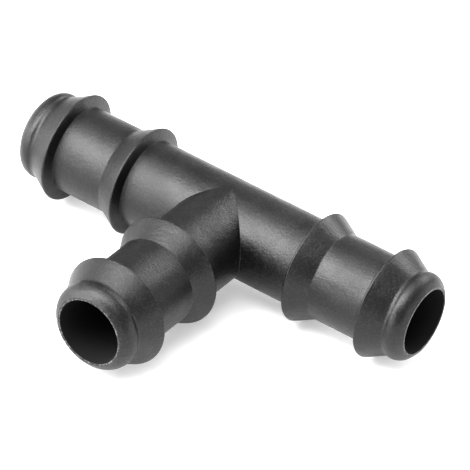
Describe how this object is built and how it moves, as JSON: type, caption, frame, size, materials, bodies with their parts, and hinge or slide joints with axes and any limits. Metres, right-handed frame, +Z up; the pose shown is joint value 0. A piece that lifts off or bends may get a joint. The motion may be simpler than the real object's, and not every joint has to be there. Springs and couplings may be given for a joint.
{
  "type": "barbed tee connector",
  "caption": "Hose tee moulded in one piece: a straight run with a square branch, each leg hollow with ring barbs and a rounded nose.",
  "frame": {"origin": "centre of the bounding box at its lowest level, the level of the barb crests that the tee lies on", "axes": "+X along the run, +Z up, and the branch points to -Y"},
  "size_m": [0.0688, 0.0426, 0.017],
  "materials": {
    "black_plastic": "satin, as moulded"
  },
  "bodies": {
    "root": {"tee_body": "black_plastic"}
  },
  "joints": []
}
